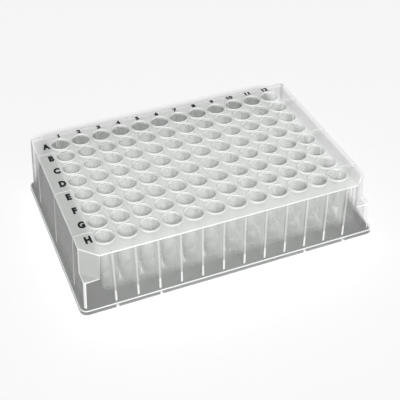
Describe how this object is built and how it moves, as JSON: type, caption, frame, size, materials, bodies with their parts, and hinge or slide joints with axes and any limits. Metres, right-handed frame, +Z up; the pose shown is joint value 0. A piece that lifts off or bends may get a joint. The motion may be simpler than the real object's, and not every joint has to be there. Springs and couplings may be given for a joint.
{
  "type": "well plate",
  "caption": "Moulded deep-well laboratory plate with a grid of round wells, a ribbed skirt and two cut front corners.",
  "frame": {"origin": "centre of the footprint, on the underside of the foot flange", "axes": "+X along the long rows of wells from the lettered edge, +Y towards row A, +Z up out of the wells"},
  "size_m": [0.1278, 0.0854, 0.0277],
  "materials": {
    "polypropylene": "translucent natural polypropylene, satin"
  },
  "bodies": {
    "root": {"well_plate": "polypropylene"}
  },
  "joints": []
}
